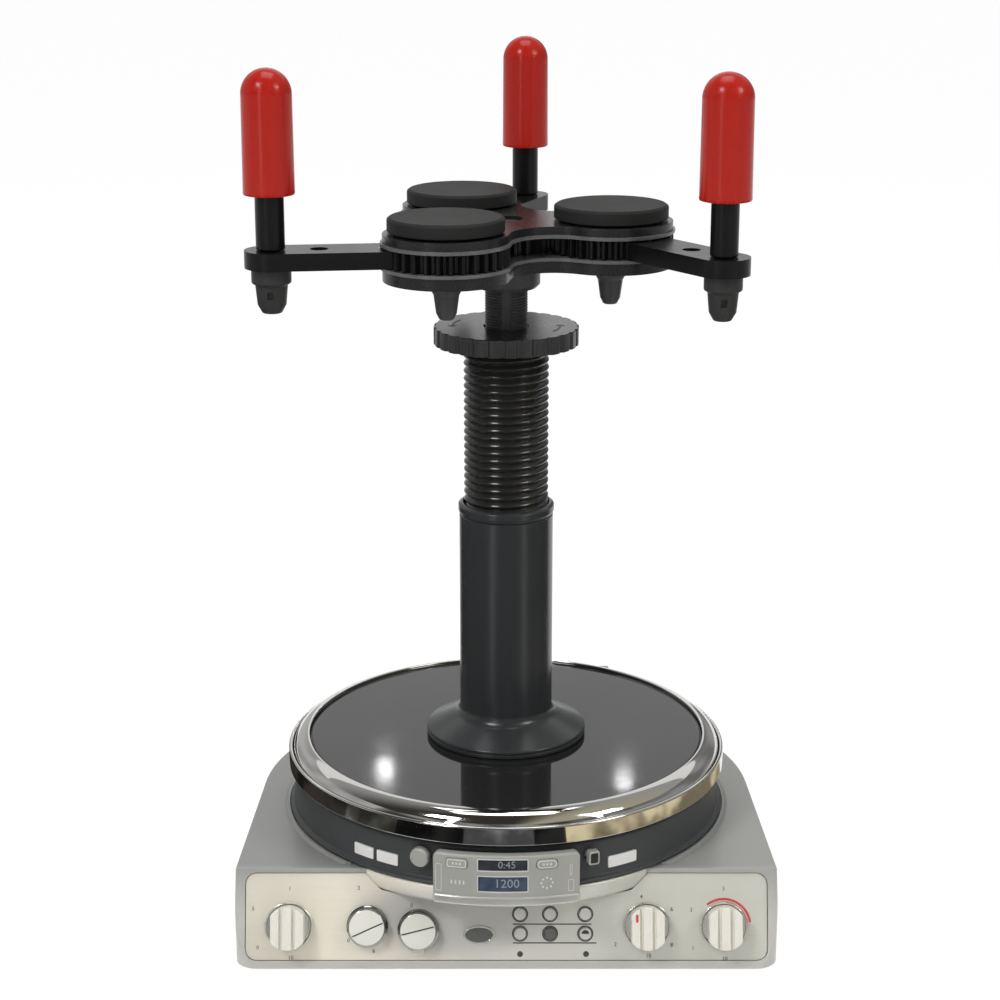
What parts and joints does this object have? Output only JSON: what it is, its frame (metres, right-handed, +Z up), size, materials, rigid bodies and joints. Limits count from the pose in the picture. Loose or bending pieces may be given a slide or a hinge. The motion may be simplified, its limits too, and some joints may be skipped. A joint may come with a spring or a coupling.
{
  "type": "vortex mixer",
  "caption": "Benchtop vortex mixer: an orbiting round platform on a control base with knobs and a display, and a screw column that carries a self-centring clamp head with gripped posts.",
  "frame": {"origin": "on the bench, on the drum's upright axis", "axes": "+Z up, -Y out of the front panel, +X to the right as seen from the front"},
  "size_m": [0.2944, 0.2885, 0.4775],
  "materials": {
    "grey_paint": "satin",
    "pale_steel": "satin",
    "cream_plastic": "gloss",
    "charcoal_paint": "satin",
    "platform_coat": "satin coat",
    "chrome": "polished",
    "blue_black_paint": "satin",
    "black_anodised": "black anodised",
    "black_rubber": "matte",
    "red_vinyl": "gloss",
    "silver_plastic": "satin",
    "dark_plastic": "matte",
    "display_glass": "gloss",
    "plain_steel": "plain",
    "green_board": "matte"
  },
  "bodies": {
    "base": {"base_housing": "grey_paint", "bottom_plate": "plain_steel", "foot_1": "black_rubber", "foot_2": "black_rubber", "foot_3": "black_rubber", "foot_4": "black_rubber", "control_fascia": "pale_steel", "control_board": "green_board", "motor": "plain_steel", "bearing_plate": "plain_steel", "drum_cover": "charcoal_paint", "display_pod": "silver_plastic", "lcd_module": "display_glass", "power_inlet": "grey_paint"},
    "crank": {"eccentric_crank": "plain_steel"},
    "idler_1": {"idler_crank_1": "plain_steel"},
    "idler_2": {"idler_crank_2": "plain_steel"},
    "platter": {"platter_disc": "platform_coat", "rim_ring": "chrome", "column_tube": "blue_black_paint", "guide_collar": "blue_black_paint"},
    "head": {"head_shaft": "black_anodised", "head_bottom_plate": "black_anodised", "head_top_plate": "black_anodised", "arm_pivot_1": "black_anodised", "arm_pivot_2": "black_anodised", "arm_pivot_3": "black_anodised", "pad_1": "black_rubber", "pad_2": "black_rubber", "pad_3": "black_rubber"},
    "screw": {"screw_sleeve": "black_anodised", "adjusting_disc": "black_anodised"},
    "sun": {"sun_gear": "black_anodised"},
    "arm_1": {"arm_1": "black_anodised", "post_1": "black_anodised", "grip_1": "red_vinyl", "end_nut_1": "charcoal_paint"},
    "arm_2": {"arm_2": "black_anodised", "post_2": "black_anodised", "grip_2": "red_vinyl", "end_nut_2": "charcoal_paint"},
    "arm_3": {"arm_3": "black_anodised", "post_3": "black_anodised", "grip_3": "red_vinyl", "end_nut_3": "charcoal_paint"},
    "knob_1": {"knob_1": "cream_plastic"},
    "knob_2": {"knob_2": "cream_plastic"},
    "knob_3": {"knob_3": "cream_plastic"},
    "knob_4": {"knob_4": "cream_plastic"},
    "knob_5": {"knob_5": "cream_plastic"},
    "button_1": {"button_1": "silver_plastic"},
    "button_2": {"button_2": "silver_plastic"},
    "button_3": {"button_3": "silver_plastic"},
    "button_4": {"button_4": "silver_plastic"},
    "button_5": {"button_5": "silver_plastic"},
    "button_6": {"button_6": "silver_plastic"},
    "pod_key_left": {"pod_key_left": "silver_plastic"},
    "pod_key_right": {"pod_key_right": "silver_plastic"},
    "start_button": {"start_button": "silver_plastic"},
    "stop_button": {"stop_button": "dark_plastic"}
  },
  "joints": [
    {"name": "crank_spin", "type": "hinge", "parent": "base", "child": "crank", "pos_m": [0, 0, 0.059], "axis": [0, 0, 1], "continuous": true},
    {"name": "platter_orbit", "type": "hinge", "parent": "crank", "child": "platter", "pos_m": [0, -0.0025, 0.08], "axis": [0, 0, 1], "continuous": true},
    {"name": "idler_1_spin", "type": "hinge", "parent": "base", "child": "idler_1", "pos_m": [0.06928, 0.04, 0.059], "axis": [0, 0, 1], "continuous": true},
    {"name": "idler_2_spin", "type": "hinge", "parent": "base", "child": "idler_2", "pos_m": [-0.06928, 0.04, 0.059], "axis": [0, 0, 1], "continuous": true},
    {"name": "height_adjust", "type": "slide", "parent": "platter", "child": "head", "axis": [0, 0, 1], "range_m": [-0.075, 0.02]},
    {"name": "screw_turn", "type": "hinge", "parent": "head", "child": "screw", "pos_m": [0, -0.0025, 0.32735], "axis": [0, 0, 1], "range_deg": [-6285.1, 1680.4]},
    {"name": "sun_turn", "type": "hinge", "parent": "head", "child": "sun", "pos_m": [0, -0.0025, 0.38035], "axis": [0, 0, 1], "range_deg": [-61, 81]},
    {"name": "arm_1_swing", "type": "hinge", "parent": "head", "child": "arm_1", "pos_m": [-0.02488, 0.04834, 0.38035], "axis": [0, 0, 1], "range_deg": [-60, 45]},
    {"name": "arm_2_swing", "type": "hinge", "parent": "head", "child": "arm_2", "pos_m": [-0.03159, -0.04947, 0.38035], "axis": [0, 0, 1], "range_deg": [-60.5, 45.5]},
    {"name": "arm_3_swing", "type": "hinge", "parent": "head", "child": "arm_3", "pos_m": [0.05647, -0.00637, 0.38035], "axis": [0, 0, 1], "range_deg": [-60.5, 45.5]},
    {"name": "knob_1_turn", "type": "hinge", "parent": "base", "child": "knob_1", "pos_m": [-0.11792, -0.1064, 0.02249], "axis": [0, -0.9397, 0.342], "range_deg": [-150, 150]},
    {"name": "knob_2_turn", "type": "hinge", "parent": "base", "child": "knob_2", "pos_m": [-0.07542, -0.1064, 0.02249], "axis": [0, -0.9397, 0.342], "range_deg": [-135, 135]},
    {"name": "knob_3_turn", "type": "hinge", "parent": "base", "child": "knob_3", "pos_m": [-0.04772, -0.10708, 0.02061], "axis": [0, -0.9397, 0.342], "range_deg": [-60, 60]},
    {"name": "knob_4_turn", "type": "hinge", "parent": "base", "child": "knob_4", "pos_m": [0.07612, -0.1064, 0.02249], "axis": [0, -0.9397, 0.342], "range_deg": [-150, 150]},
    {"name": "knob_5_turn", "type": "hinge", "parent": "base", "child": "knob_5", "pos_m": [0.11792, -0.1064, 0.02249], "axis": [0, -0.9397, 0.342], "range_deg": [-150, 150]},
    {"name": "button_1_press", "type": "slide", "parent": "base", "child": "button_1", "axis": [0, 0.9397, -0.342], "range_m": [0, 0.0008], "stiffness_N_per_m": 400},
    {"name": "button_2_press", "type": "slide", "parent": "base", "child": "button_2", "axis": [0, 0.9397, -0.342], "range_m": [0, 0.0008], "stiffness_N_per_m": 400},
    {"name": "button_3_press", "type": "slide", "parent": "base", "child": "button_3", "axis": [0, 0.9397, -0.342], "range_m": [0, 0.0008], "stiffness_N_per_m": 400},
    {"name": "button_4_press", "type": "slide", "parent": "base", "child": "button_4", "axis": [0, 0.9397, -0.342], "range_m": [0, 0.0008], "stiffness_N_per_m": 400},
    {"name": "button_5_press", "type": "slide", "parent": "base", "child": "button_5", "axis": [0, 0.9397, -0.342], "range_m": [0, 0.0008], "stiffness_N_per_m": 400},
    {"name": "button_6_press", "type": "slide", "parent": "base", "child": "button_6", "axis": [0, 0.9397, -0.342], "range_m": [0, 0.0008], "stiffness_N_per_m": 400},
    {"name": "pod_key_left_press", "type": "slide", "parent": "base", "child": "pod_key_left", "axis": [0.2011, 0.9796, 0], "range_m": [0, 0.0005], "stiffness_N_per_m": 400},
    {"name": "pod_key_right_press", "type": "slide", "parent": "base", "child": "pod_key_right", "axis": [-0.1633, 0.9866, 0], "range_m": [0, 0.0005], "stiffness_N_per_m": 400},
    {"name": "start_button_press", "type": "slide", "parent": "base", "child": "start_button", "axis": [0.3649, 0.9311, 0], "range_m": [0, 0.0008], "stiffness_N_per_m": 400},
    {"name": "stop_button_press", "type": "slide", "parent": "base", "child": "stop_button", "axis": [-0.3649, 0.9311, 0], "range_m": [0, 0.0008], "stiffness_N_per_m": 400}
  ],
  "couplings": [
    {"joint": "platter_orbit", "follows": "crank_spin", "ratio": -1},
    {"joint": "idler_1_spin", "follows": "crank_spin", "ratio": 1},
    {"joint": "idler_2_spin", "follows": "crank_spin", "ratio": 1},
    {"joint": "screw_turn", "follows": "height_adjust", "rad_per_m": 1461.2},
    {"joint": "arm_2_swing", "follows": "arm_1_swing", "ratio": 1},
    {"joint": "arm_3_swing", "follows": "arm_1_swing", "ratio": 1},
    {"joint": "sun_turn", "follows": "arm_1_swing", "ratio": -1.3333}
  ]
}
